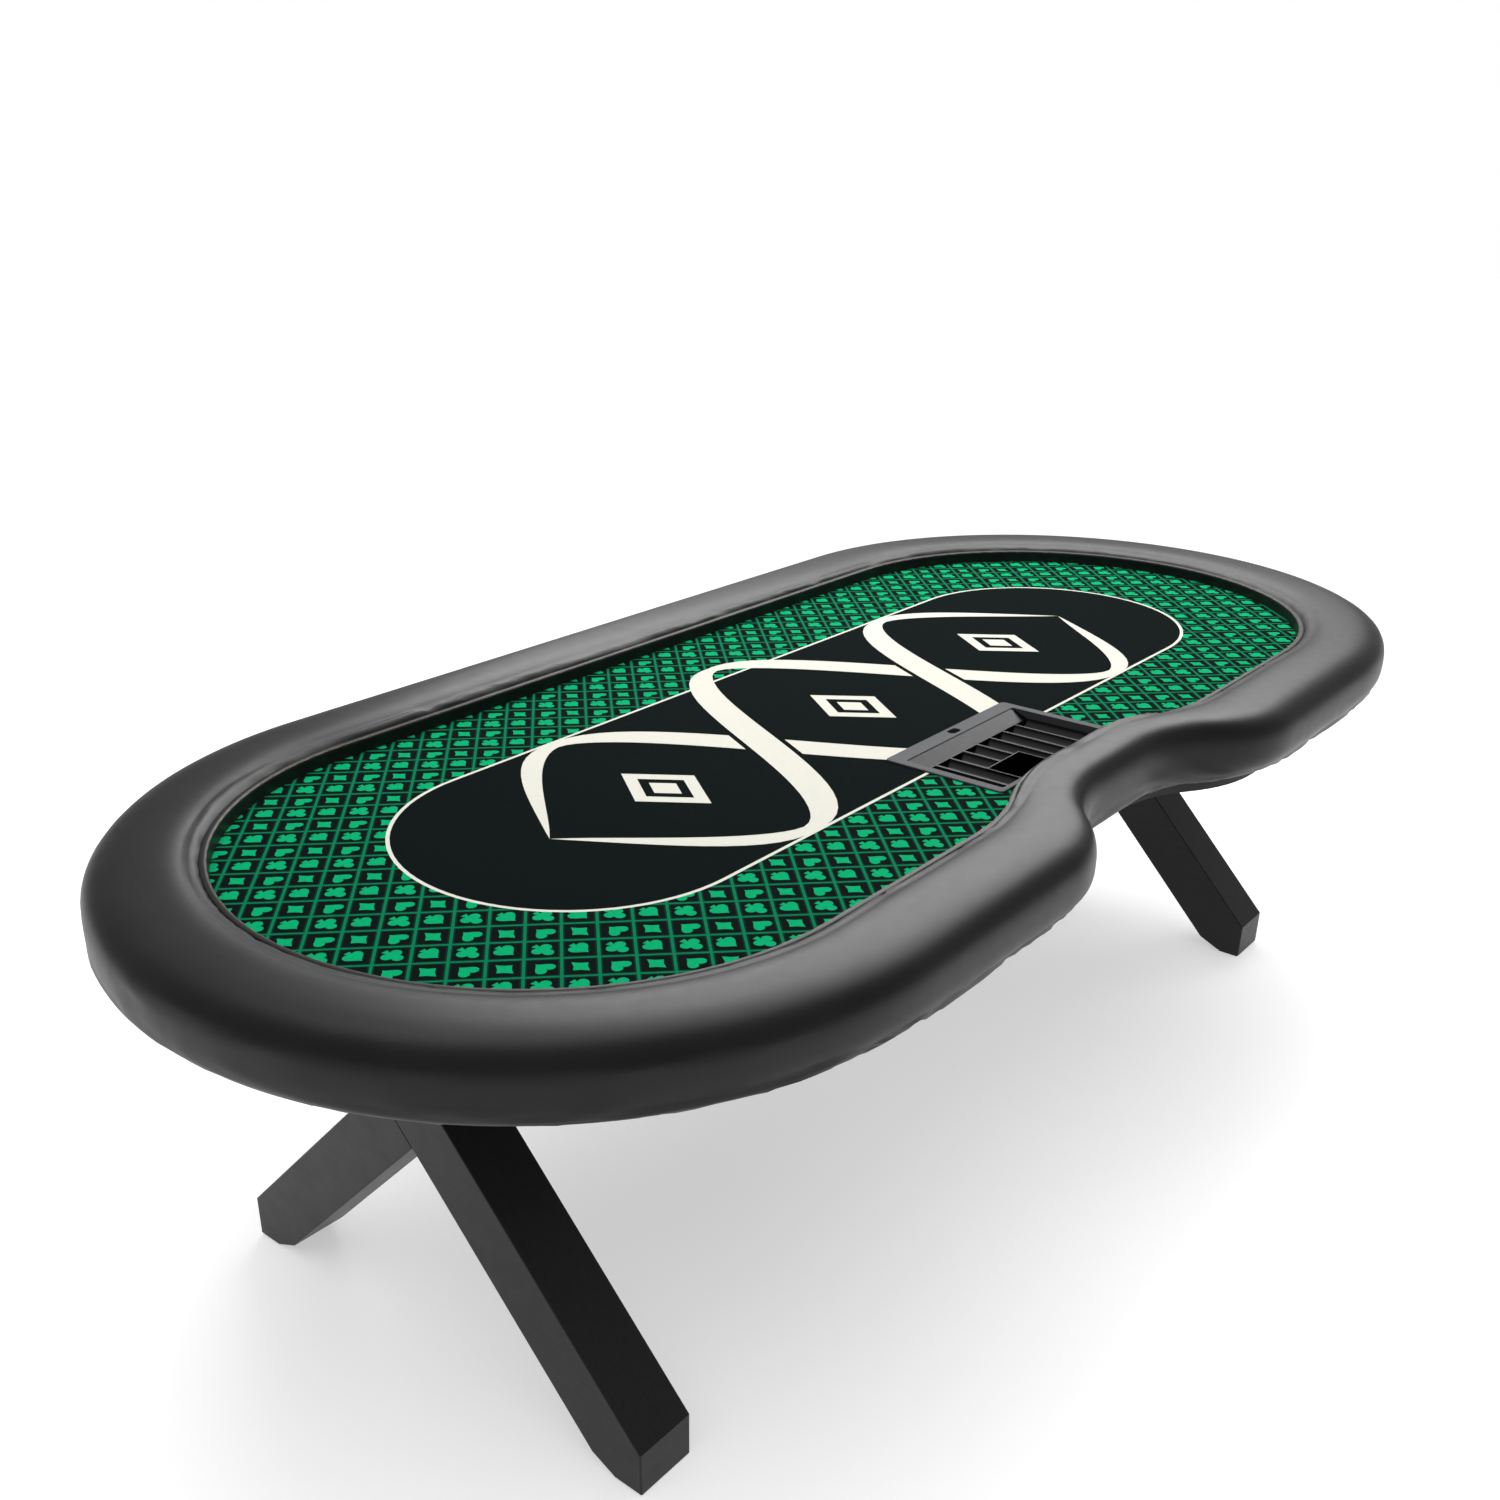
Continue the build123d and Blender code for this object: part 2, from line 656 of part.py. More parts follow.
with BuildPart() as tray_rows:
    with BuildSketch(Plane.XZ.offset(-rows_front)):
        with Locations(*row_middles):
            Circle(row_radius + row_shell)
        with Locations((0, ridge_top + row_radius)):
            Rectangle(2 * table_width, 2 * row_radius, mode=Mode.SUBTRACT)
        with Locations((0, ridge_top - row_shell / 2)):
            Rectangle(2 * insert_half_width, row_shell)
        with Locations(*row_middles):
            Circle(row_radius, mode=Mode.SUBTRACT)
    extrude(amount=rows_front - tray_opening_back)
    # the ends of the rows are closed, and an apron slopes down to them from the frame
    for wall_y in (rows_front, tray_opening_back + row_shell):
        with BuildSketch(Plane.XZ.offset(-wall_y)):
            with Locations((0, (ridge_top + row_bottom) / 2)):
                Rectangle(2 * insert_half_width, ridge_top - row_bottom)
        extrude(amount=row_shell)
    with BuildSketch(Plane.YZ.offset(-insert_half_width)):
        with BuildLine():
            Polyline(
                (tray_opening_front - insert_edge, flange_top - 1.5),
                (rows_front, ridge_top),
                (rows_front, ridge_top - row_shell),
                (tray_opening_front - insert_edge, flange_top - 1.5 - row_shell),
                close=True,
            )
        make_face()
    extrude(amount=2 * insert_half_width)
    with BuildSketch(Plane.XY.offset(row_bottom - 1)):
        with Locations(opening_centre):
            RectangleRounded(2 * insert_half_width, opening_length - 2 * insert_edge, opening_corner)
    extrude(amount=ridge_drop + ridge_top - row_bottom, mode=Mode.INTERSECT)
    with BuildSketch(Plane.XY.offset(row_bottom - 1)):
        with Locations(deck_well_centre):
            Rectangle(deck_well_width, deck_well_length)
    extrude(amount=ridge_top - row_bottom + 2, mode=Mode.SUBTRACT)
write(tray_rows.part, "tray_rows")

deck_wall = 2
with BuildPart() as tray_deck_box:
    with BuildSketch(Plane.XY.offset(flange_top - deck_well_depth)):
        with Locations(deck_well_centre):
            Rectangle(deck_well_width, deck_well_length)
    extrude(amount=deck_well_depth - ridge_drop + 1)
    with BuildSketch(Plane.XY.offset(flange_top - deck_well_depth + deck_wall)):
        with Locations(deck_well_centre):
            Rectangle(deck_well_width - 2 * deck_wall, deck_well_length - 2 * deck_wall)
    extrude(amount=deck_well_depth, mode=Mode.SUBTRACT)
write(tray_deck_box.part, "tray_deck_box")
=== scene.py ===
import math

import bmesh
import bpy
from mathutils import Matrix, Vector
from mathutils.geometry import delaunay_2d_cdt


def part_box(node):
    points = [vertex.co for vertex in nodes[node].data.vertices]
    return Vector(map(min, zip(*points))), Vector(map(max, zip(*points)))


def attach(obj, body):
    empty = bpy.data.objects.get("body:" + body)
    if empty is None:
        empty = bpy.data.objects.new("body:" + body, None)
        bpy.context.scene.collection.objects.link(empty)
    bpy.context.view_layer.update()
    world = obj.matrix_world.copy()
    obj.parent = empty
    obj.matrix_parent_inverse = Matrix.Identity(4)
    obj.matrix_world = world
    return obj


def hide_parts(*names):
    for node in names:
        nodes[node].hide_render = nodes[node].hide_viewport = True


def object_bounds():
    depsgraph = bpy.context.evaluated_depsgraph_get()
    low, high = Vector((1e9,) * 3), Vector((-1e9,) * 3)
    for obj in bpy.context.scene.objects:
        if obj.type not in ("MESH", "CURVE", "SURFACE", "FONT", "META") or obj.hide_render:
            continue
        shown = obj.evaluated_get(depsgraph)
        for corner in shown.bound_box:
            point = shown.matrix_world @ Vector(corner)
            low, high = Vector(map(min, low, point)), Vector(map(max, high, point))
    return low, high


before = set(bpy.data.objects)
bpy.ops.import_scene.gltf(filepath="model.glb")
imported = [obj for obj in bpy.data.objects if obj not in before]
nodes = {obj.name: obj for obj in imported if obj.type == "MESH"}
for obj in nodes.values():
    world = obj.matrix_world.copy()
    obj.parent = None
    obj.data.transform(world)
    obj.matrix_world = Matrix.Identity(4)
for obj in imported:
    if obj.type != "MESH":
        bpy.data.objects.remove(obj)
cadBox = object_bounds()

print("stage: frame loaded,", len(nodes), "CAD nodes")

# the table's plan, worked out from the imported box
tableLow, tableHigh = cadBox
tableLength = tableHigh[0] - tableLow[0]
tableWidth = tableHigh[1] - tableLow[1]
railTop = tableHigh[2]
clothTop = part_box("speed_cloth")[1].z
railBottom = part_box("base_board")[1].z

plan = {
    "railWidth": 0.156,
    "bayHalfFlat": 0.070,
    "bayRun": 0.290,
    "bayDepthInside": 0.060,
    "bayDepthOutside": 0.115,
    "spacing": 0.018,
}
railLine = tableWidth / 2 - plan["railWidth"] / 2
endCentre = tableLength / 2 - tableWidth / 2


# points along an arc, without its last one; the sweep is in radians, positive to the left
def arcPoints(start, heading, radius, sweep, count):
    turn = 1 if sweep > 0 else -1
    centre = Vector(start) + Vector((-heading[1], heading[0])) * radius * turn
    arm = Vector(start) - centre
    points = []
    for i in range(count):
        angle = sweep * i / count
        points.append(centre + Matrix.Rotation(angle, 2) @ arm)
    return points


def linePoints(start, end, count):
    return [Vector(start).lerp(Vector(end), i / count) for i in range(count)]


# closed outline of the table at a distance outside the rail's middle line, metres
def planLoop(reach):
    side = railLine + reach
    share = (reach + plan["railWidth"] / 2) / plan["railWidth"]
    depth = plan["bayDepthInside"] + (plan["bayDepthOutside"] - plan["bayDepthInside"]) * share
    swing = 2 * math.atan(depth / plan["bayRun"])
    radius = plan["bayRun"] / (2 * math.sin(swing))
    flat = plan["bayHalfFlat"]
    start = flat + plan["bayRun"]
    half = (math.cos(swing), math.sin(swing))
    step = plan["spacing"]
    arcCount = round(plan["bayRun"] / 2 / step) + 2
    endCount = round(math.pi * railLine / step)
    loop = linePoints((-endCentre, -side), (-start, -side), round((endCentre - start) / step))
    middle = (-start + plan["bayRun"] / 2, -side + depth / 2)
    loop += arcPoints((-start, -side), (1, 0), radius, swing, arcCount)
    loop += arcPoints(middle, half, radius, -swing, arcCount)
    loop += linePoints((-flat, -side + depth), (flat, -side + depth), round(2 * flat / step))
    loop += arcPoints((flat, -side + depth), (1, 0), radius, -swing, arcCount)
    loop += arcPoints((-middle[0], middle[1]), (half[0], -half[1]), radius, swing, arcCount)
    loop += linePoints((start, -side), (endCentre, -side), round((endCentre - start) / step))
    loop += arcPoints((endCentre, -side), (1, 0), side, math.pi, endCount)
    loop += linePoints((endCentre, side), (-endCentre, side), round(2 * endCentre / step))
    loop += arcPoints((-endCentre, side), (-1, 0), side, math.pi, endCount)
    return loop


def linkPiece(name, data):
    piece = bpy.data.objects.new(name, data)
    bpy.context.scene.collection.objects.link(piece)
    return piece


def newPiece(name, verts, faces):
    mesh = bpy.data.meshes.new(name)
    mesh.from_pydata(verts, [], faces)
    mesh.polygons.foreach_set("use_smooth", [True] * len(mesh.polygons))
    return linkPiece(name, mesh)


# a section of (reach, height) points carried round the table's plan
def sweepRing(name, section):
    loops = [planLoop(reach) for reach, _ in section]
    count = len(loops[0])
    rows = len(section)
    verts = []
    for i in range(count):
        for j in range(rows):
            verts.append((loops[j][i].x, loops[j][i].y, section[j][1]))
    faces = []
    for i in range(count):
        k = (i + 1) % count
        for j in range(rows - 1):
            faces.append((i * rows + j, k * rows + j, k * rows + j + 1, i * rows + j + 1))
    return newPiece(name, verts, faces)


# a colour from its usual 0 to 255 values
def srgb(r, g, b):
    out = []
    for value in (r, g, b):
        value /= 255
        out.append(value / 12.92 if value <= 0.04045 else ((value + 0.055) / 1.055) ** 2.4)
    return (*out, 1.0)


def newMaterial(name, colour, roughness, specular, metallic=0.0):
    material = bpy.data.materials.new(name)
    material.use_nodes = True
    shader = material.node_tree.nodes["Principled BSDF"]
    shader.inputs["Base Color"].default_value = colour
    shader.inputs["Roughness"].default_value = roughness
    shader.inputs["Specular IOR Level"].default_value = specular
    shader.inputs["Metallic"].default_value = metallic
    return material, material.node_tree, shader


# a shader node with its inputs or its own settings filled in by name
def addNode(tree, kind, **values):
    node = tree.nodes.new(kind)
    for key, value in values.items():
        if key in node.inputs:
            node.inputs[key].default_value = value
        else:
            setattr(node, key, value)
    return node


# object coordinates, stretched and turned
def place(tree, scale=(1, 1, 1), turn=(0, 0, 0)):
    coords = tree.nodes.new("ShaderNodeTexCoord")
    mapping = tree.nodes.new("ShaderNodeMapping")
    mapping.inputs["Scale"].default_value = scale
    mapping.inputs["Rotation"].default_value = turn
    tree.links.new(coords.outputs["Object"], mapping.inputs["Vector"])
    return mapping.outputs["Vector"]


def noise(tree, vector, scale, detail=4.0, roughness=0.55):
    node = addNode(tree, "ShaderNodeTexNoise", Scale=scale, Detail=detail, Roughness=roughness)
    tree.links.new(vector, node.inputs["Vector"])
    return node.outputs["Fac"]


def ramp(tree, factor, stops):
    node = tree.nodes.new("ShaderNodeValToRGB")
    elements = node.color_ramp.elements
    while len(elements) < len(stops):
        elements.new(0.5)
    for element, (position, colour) in zip(elements, stops):
        element.position = position
        element.color = colour
    tree.links.new(factor, node.inputs["Fac"])
    return node.outputs["Color"]


def remap(tree, factor, low, high):
    node = addNode(tree, "ShaderNodeMapRange")
    node.inputs["To Min"].default_value = low
    node.inputs["To Max"].default_value = high
    tree.links.new(factor, node.inputs["Value"])
    return node.outputs["Result"]


# heights is a list of (output, strength, distance in metres), laid one on another
def addBump(tree, shader, heights):
    previous = None
    for output, strength, distance in heights:
        node = addNode(tree, "ShaderNodeBump", Strength=strength, Distance=distance)
        tree.links.new(output, node.inputs["Height"])
        if previous:
            tree.links.new(previous, node.inputs["Normal"])
        previous = node.outputs["Normal"]
    tree.links.new(previous, shader.inputs["Normal"])


leatherette = {
    "colour": srgb(10, 10, 11),
    "paler": srgb(17, 17, 18),
    "roughness": (0.38, 0.47),
    "specular": 0.29,
    "grainScale": 620,
    "grainDepth": 0.00016,
    "dentScale": 14,
    "dentDepth": 0.0012,
    "poreScale": 1800,
    "poreDepth": 0.00008,
}


def leatheretteMaterial(name, look):
    material, tree, shader = newMaterial(name, look["colour"], 0.45, look["specular"])
    where = place(tree)
    cells = addNode(tree, "ShaderNodeTexVoronoi", Scale=look["grainScale"], feature="DISTANCE_TO_EDGE")
    tree.links.new(where, cells.inputs["Vector"])
    cloudy = noise(tree, where, 9, 3)
    pores = noise(tree, where, look["poreScale"], 2)
    colour = ramp(tree, cloudy, [(0.3, look["colour"]), (0.75, look["paler"])])
    tree.links.new(colour, shader.inputs["Base Color"])
    tree.links.new(remap(tree, noise(tree, where, 45, 4), *look["roughness"]), shader.inputs["Roughness"])
    addBump(tree, shader, [
        (noise(tree, where, look["dentScale"], 2), 0.25, look["dentDepth"]),
        (cells.outputs["Distance"], 0.5, look["grainDepth"]),
        (pores, 0.25, look["poreDepth"]),
    ])
    return material


clothLook = {
    "weaveScale": 900,
    "weaveDepth": 0.00022,
    "weaveAngle": 27,
    "specular": 0.02,
    "roughness": 0.9,
}


# printed twill: fine slanted ribs over a crossing thread
def clothMaterial(name, colour, variation):
    material, tree, shader = newMaterial(name, colour, clothLook["roughness"], clothLook["specular"])
    lean = math.radians(clothLook["weaveAngle"])
    ribs = addNode(tree, "ShaderNodeTexWave", Scale=clothLook["weaveScale"] / 2, Distortion=0.6)
    threads = addNode(tree, "ShaderNodeTexWave", Scale=clothLook["weaveScale"], Distortion=0.4)
    tree.links.new(place(tree, turn=(0, 0, lean)), ribs.inputs["Vector"])
    tree.links.new(place(tree, turn=(0, 0, -lean)), threads.inputs["Vector"])
    deep = tuple(c * (1 - variation) for c in colour[:3]) + (1,)
    pale = tuple(min(1, c * (1 + variation)) for c in colour[:3]) + (1,)
    patchy = noise(tree, place(tree), 160, 6, 0.7)
    tree.links.new(ramp(tree, patchy, [(0.3, deep), (0.7, pale)]), shader.inputs["Base Color"])
    addBump(tree, shader, [
        (ribs.outputs["Fac"], 0.55, clothLook["weaveDepth"]),
        (threads.outputs["Fac"], 0.35, clothLook["weaveDepth"] / 2),
    ])
    return material


# wood or painted wood; along is the axis that the grain runs on
def timberMaterial(name, colour, paler, roughness, along, grain=1.0, specular=0.4):
    material, tree, shader = newMaterial(name, colour, roughness, specular)
    acrossGrain, alongGrain = 26, 1.6
    where = place(tree, scale=[alongGrain if axis == along else acrossGrain for axis in "xyz"])
    fibres = noise(tree, where, 6, 8, 0.65)
    tree.links.new(ramp(tree, fibres, [(0.3, colour), (0.72, paler)]), shader.inputs["Base Color"])
    blotches = noise(tree, place(tree), 30, 4)
    tree.links.new(remap(tree, blotches, roughness - 0.07, roughness + 0.09), shader.inputs["Roughness"])
    pores = noise(tree, place(tree), 900, 2)
    addBump(tree, shader, [(fibres, 0.35 * grain, 0.0006), (pores, 0.12, 0.0001)])
    return material


def metalMaterial(name, colour, paler, roughness):
    material, tree, shader = newMaterial(name, colour, roughness, 0.5, 1.0)
    where = place(tree)
    cloud = noise(tree, where, 220, 5)
    tree.links.new(ramp(tree, cloud, [(0.3, colour), (0.7, paler)]), shader.inputs["Base Color"])
    dull = remap(tree, noise(tree, where, 700, 3), roughness - 0.08, roughness + 0.12)
    tree.links.new(dull, shader.inputs["Roughness"])
    addBump(tree, shader, [(cloud, 0.1, 0.0001)])
    return material


def plasticMaterial(name, colour, roughness, grain, specular):
    material, tree, shader = newMaterial(name, colour, roughness, specular)
    where = place(tree)
    speckle = noise(tree, where, grain, 3)
    handled = remap(tree, noise(tree, where, 60, 4), roughness - 0.03, roughness + 0.05)
    tree.links.new(handled, shader.inputs["Roughness"])
    addBump(tree, shader, [(speckle, 0.12, 0.00012)])
    return material


def foamMaterial(name, colour, paler):
    material, tree, shader = newMaterial(name, colour, 0.95, 0.1)
    where = place(tree)
    pores = addNode(tree, "ShaderNodeTexVoronoi", Scale=700)
    tree.links.new(where, pores.inputs["Vector"])
    shade = ramp(tree, pores.outputs["Distance"], [(0.1, colour), (0.6, paler)])
    tree.links.new(shade, shader.inputs["Base Color"])
    addBump(tree, shader, [(pores.outputs["Distance"], 0.6, 0.0006)])
    return material


blackLeather = leatheretteMaterial("blackLeatherette", leatherette)
clothDark = clothMaterial("clothNearBlack", srgb(8, 15, 15), 0.16)
clothDeep = clothMaterial("clothDeepGreen", srgb(5, 38, 30), 0.16)
clothGreen = clothMaterial("clothGreenPrint", srgb(4, 146, 94), 0.12)
clothLines = clothMaterial("clothGreenLines", srgb(4, 104, 68), 0.12)
clothWhite = clothMaterial("clothOffWhitePrint", srgb(194, 193, 183), 0.03)

blackPaint = srgb(15, 15, 16)
blackPaintPale = srgb(24, 24, 25)
painted = {}
for grainAxis in "xy":
    painted[grainAxis] = timberMaterial(
        "blackPaint" + grainAxis.upper(), blackPaint, blackPaintPale, 0.42, grainAxis, 1.0, 0.3
    )
plywood = timberMaterial("birchPlywood", srgb(196, 160, 112), srgb(214, 184, 140), 0.62, "x")
pine = timberMaterial("pineBatten", srgb(205, 168, 116), srgb(224, 194, 146), 0.6, "y")
pineAlong = timberMaterial("pineBattenAlong", srgb(205, 168, 116), srgb(224, 194, 146), 0.6, "x")
stainedBoard = timberMaterial("stainedBoard", srgb(30, 29, 28), srgb(40, 38, 36), 0.6, "x", 1.4, 0.3)
zincSteel = metalMaterial("zincSteel", srgb(168, 170, 172), srgb(196, 198, 200), 0.34)
yellowZinc = metalMaterial("yellowZinc", srgb(186, 160, 92), srgb(206, 184, 120), 0.32)
blackFelt = foamMaterial("blackFelt", srgb(16, 16, 17), srgb(30, 30, 31))
greyFoam = foamMaterial("greyFoam", srgb(92, 93, 95), srgb(120, 121, 123))
trayFrameGrey = plasticMaterial("trayFrameGrey", srgb(62, 63, 65), 0.55, 900, 0.12)
trayBlack = plasticMaterial("trayGlossBlack", srgb(4, 4, 5), 0.27, 500, 0.09)

nodeMaterials = {
    "playfield_board": plywood,
    "rail_base": plywood,
    "inner_trim_board": plywood,
    "base_board": stainedBoard,
    "playfield_foam": greyFoam,
    "rail_foam_core": greyFoam,
    "rail_foam_roll": greyFoam,
    "rail_cover": blackLeather,
    "inner_trim_cover": blackLeather,
    "speed_cloth": clothDark,
    "stretcher": painted["x"],
    "left_leg_cleat": painted["y"],
    "right_leg_cleat": painted["y"],
    "rear_side_batten": pineAlong,
    "front_side_batten_left": pineAlong,
    "front_side_batten_right": pineAlong,
    "foot_pads": blackFelt,
    "playfield_screws": yellowZinc,
    "batten_screws": yellowZinc,
    "cleat_screws": yellowZinc,
    "tray_frame": trayFrameGrey,
    "tray_rows": trayBlack,
    "tray_deck_box": trayBlack,
}
for name, node in nodes.items():
    if name in nodeMaterials:
        material = nodeMaterials[name]
    elif "beam" in name:
        material = painted["y"]
    elif "batten" in name:
        material = pine
    else:
        material = zincSteel
    node.data.materials.clear()
    node.data.materials.append(material)
print("stage: materials on CAD nodes")

roll = {
    "squareness": 2.7,
    "startAngle": 171,
    "endAngle": -81,
    "sectionPoints": 46,
    "shrink": 0.0022,  # how far the cover is drawn in before air stretches it
    "edgeRows": 5,  # the shrink comes in over these, and their outer half is stapled
    "hold": 0.35,  # how much the foam holds the cover beside the staples
    "holdFade": 0.1,
    "pressure": 3.5,
    "frames": 20,
    "most": 0.004,  # no point moves further than this
    "slack": -0.006,  # below zero lets the cover grow a little
    "quality": 6,
    "mass": 0.4,
    "tension": 22,
    "compression": 14,
    "shear": 10,
    "bending": 0.6,
}


def superPoint(angle, halfWidth, halfHeight, squareness):
    c, s = math.cos(angle), math.sin(angle)
    x = math.copysign(abs(c) ** (2 / squareness), c) * halfWidth
    z = math.copysign(abs(s) ** (2 / squareness), s) * halfHeight
    return x, z


def buildRoll():
    halfWidth = plan["railWidth"] / 2
    halfHeight = (railTop - railBottom) / 2
    middle = (railTop + railBottom) / 2
    section = []
    for i in range(roll["sectionPoints"]):
        share = i / (roll["sectionPoints"] - 1)
        angle = math.radians(roll["startAngle"] + (roll["endAngle"] - roll["startAngle"]) * share)
        x, z = superPoint(angle, halfWidth, halfHeight, roll["squareness"])
        section.append((x, middle + z))
    piece = sweepRing("railRoll", section)
    piece.data.materials.append(blackLeather)
    return piece


# lets air pressure stretch the cover from the edges it is stapled along
def puffRoll(piece):
    mesh = piece.data
    rows = roll["sectionPoints"]
    held = piece.vertex_groups.new(name="stapled")
    start = [v.co.copy() for v in mesh.vertices]
    normals = [v.normal.copy() for v in mesh.vertices]
    for v in mesh.vertices:
        row = v.index % rows
        depth = min(row, rows - 1 - row) / roll["edgeRows"]
        hold = 1.0 if depth < 0.5 else max(0.0, roll["hold"] - roll["holdFade"] * depth)
        held.add([v.index], hold, "REPLACE")
        v.co -= normals[v.index] * roll["shrink"] * min(1.0, depth)
    stretching = piece.modifiers.new("cover", "CLOTH")
    cover = stretching.settings
    cover.quality = roll["quality"]
    cover.mass = roll["mass"]
    cover.tension_stiffness = roll["tension"]
    cover.compression_stiffness = roll["compression"]
    cover.shear_stiffness = roll["shear"]
    cover.bending_stiffness = roll["bending"]
    cover.shrink_min = roll["slack"]
    cover.use_pressure = True
    cover.uniform_pressure_force = roll["pressure"]
    cover.vertex_group_mass = held.name
    cover.effector_weights.gravity = 0
    stretching.collision_settings.use_collision = False
    stretching.point_cache.frame_start = 1
    stretching.point_cache.frame_end = roll["frames"]
    scene = bpy.context.scene
    for number in range(1, roll["frames"] + 1):
        scene.frame_set(number)
    puffed = piece.evaluated_get(bpy.context.evaluated_depsgraph_get()).data
    moved = [v.co.copy() for v in puffed.vertices]
    piece.modifiers.remove(stretching)
    piece.vertex_groups.clear()
    for v in mesh.vertices:
        step = moved[v.index] - start[v.index]
        v.co = start[v.index] + step * min(1.0, roll["most"] / max(step.length, 1e-9))
    scene.frame_set(1)
    mesh.update()
    steps = sorted((m - s).length for m, s in zip(moved, start))
    print("stage: cover puffed, millimetres moved: typical", round(steps[len(steps) // 2] * 1000, 2),
          "most", round(steps[-1] * 1000, 2))


railRoll = buildRoll()
puffRoll(railRoll)
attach(railRoll, "table")
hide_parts("rail_cover", "rail_foam_roll")

band = {
    "face": -0.0792,
    "back": -0.0690,
    "height": 0.0222,
    "bulge": 0.00048,
    "edgeRadius": 0.0042,
    "foot": 0.0004,  # how far the strip reaches below the cloth's face
}


# upholstered strip that rises from the cloth to the crease under the roll
def buildBand():
    face, back, radius = band["face"], band["back"], band["edgeRadius"]
    top = clothTop + band["height"]
    section = []
    faceHeight = band["height"] - radius
    for i in range(7):
        share = i / 6
        swell = band["bulge"] * math.sin(math.pi * share)
        section.append((face + swell, clothTop - band["foot"] + faceHeight * share))
    for i in range(1, 6):
        angle = math.radians(180 - 90 * i / 5)
        section.append((face + radius + math.cos(angle) * radius, top - radius + math.sin(angle) * radius))
    section.append((back - 0.0012, top))
    section.append((back, top - 0.001))
    section.append((back + 0.0006, top - 0.006))
    piece = sweepRing("innerBand", section)
    piece.data.materials.append(blackLeather)
    return piece


innerBand = buildBand()
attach(innerBand, "table")
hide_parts("inner_trim_cover")
print("stage: padded rail")

square = 0.043  # one square of the printed grid
slant = math.sqrt(0.5)
inks = {"nearBlack": 0, "deepGreen": 1, "green": 2, "offWhite": 3, "darkGreen": 4}
# sizes are in squares of the print unless marked
cloth = {
    "edgeReach": -0.0785,  # metres
    "turnedEdge": 0.006,  # metres
    "cutMargin": 0.0046,  # metres
    "cutCorner": 0.006,  # metres
    "cutReach": 0.008,  # metres, edges this near the tray are turned down
    "lineHalf": 0.045,
    "insetHalf": 0.405,
    "gridShift": (-20.97, -3.64),
    "fieldHalfWidth": 6.05,
    "fieldHalfStraight": 15.1,
    "fieldLineWidth": 0.13,
}
ribbon = {
    "halfLength": 16.4,
    "swing": 7.0,
    "turns": 1.5,
    "width": 1.15,
    "gap": 0.22,
    "gapReach": 0.035,  # half of a crossing's dark gap, as a share of the ribbon
    "overReach": 0.036,  # half of the piece of ribbon that lies over it
    "lozenges": ((1.5, "offWhite"), (0.95, "nearBlack"), (0.55, "offWhite")),
    "lozengeStretch": 1.35,
}


# square numbers along the two slanted directions, to squares along the table's axes
def toTable(u, v):
    return (u - v) * slant + cloth["gridShift"][0], cloth["gridShift"][1] - (u + v) * slant


def toGrid(x, y):
    a, b = (x - cloth["gridShift"][0]) * slant, (cloth["gridShift"][1] - y) * slant
    return b + a, b - a


def isInside(x, y, polygon):
    inside = False
    px, py = polygon[-1]
    for qx, qy in polygon:
        if (qy > y) != (py > y) and x < (px - qx) * (y - qy) / (py - qy) + qx:
            inside = not inside
        px, py = qx, qy
    return inside


def isInStadium(x, y, halfStraight, halfWidth):
    return math.hypot(max(abs(x) - halfStraight, 0), y) < halfWidth


def roundPoints(cx, cy, radius, count):
    turns = [2 * math.pi * i / count for i in range(count)]
    return [(cx + radius * math.cos(a), cy + radius * math.sin(a)) for a in turns]


def heartPoints(cy, width, height, flip):
    points = []
    for i in range(20):
        t = 2 * math.pi * (i + 0.5) / 20
        x = math.sin(t) ** 3
        y = (13 * math.cos(t) - 5 * math.cos(2 * t) - 2 * math.cos(3 * t) - math.cos(4 * t)) / 16
        points.append((x * width / 2, cy - flip * (y + 0.12) * height / 2))
    return points


def stemPoints():
    return [(-0.10, 0.34), (-0.028, 0.05), (0.028, 0.05), (0.10, 0.34)]


def diamondPoints():
    points = []
    for i in range(4):
        angle = math.pi / 2 * i
        reach = 0.34 if i % 2 else 0.29
        points.append((reach * math.cos(angle), reach * math.sin(angle)))
        points.append((0.19 * math.cos(angle + math.pi / 4), 0.19 * math.sin(angle + math.pi / 4)))
    return points


# suits stand upright for the players who face the dealer
pips = {
    (0, 0): [heartPoints(0, 0.66, 0.60, 1)],
    (1, 1): [heartPoints(-0.03, 0.64, 0.64, -1), stemPoints()],
    (0, 1): [roundPoints(-0.165, 0.05, 0.165, 12), roundPoints(0.165, 0.05, 0.165, 12),
             roundPoints(0, -0.2, 0.165, 12), roundPoints(0, -0.01, 0.09, 6), stemPoints()],
    (1, 0): [diamondPoints()],
}


# middle line of one of the two mirrored ribbons, t from 0 to 1
def ribbonPoint(t, way):
    x = ribbon["halfLength"] * (2 * t - 1)
    envelope = 0.62 + 0.38 * math.sin(math.pi * t)
    return x, way * ribbon["swing"] * envelope * math.sin(2 * math.pi * ribbon["turns"] * t)


def ribbonStrip(start, end, way, extra, count):
    left, right = [], []
    for i in range(count + 1):
        t = start + (end - start) * i / count
        x, y = ribbonPoint(t, way)
        x2, y2 = ribbonPoint(t + 0.001, way)
        dx, dy = x2 - x, y2 - y
        length = math.hypot(dx, dy)
        taper = max(0.0, min(1.0, 6 * t, 6 * (1 - t))) ** 0.8
        pen = 0.40 + 0.85 * (abs(dy) / length) ** 1.5
        half = ribbon["width"] / 2 * taper * pen + extra
        left.append((x - dy / length * half, y + dx / length * half))
        right.append((x + dy / length * half, y - dx / length * half))
    return left + right[::-1]


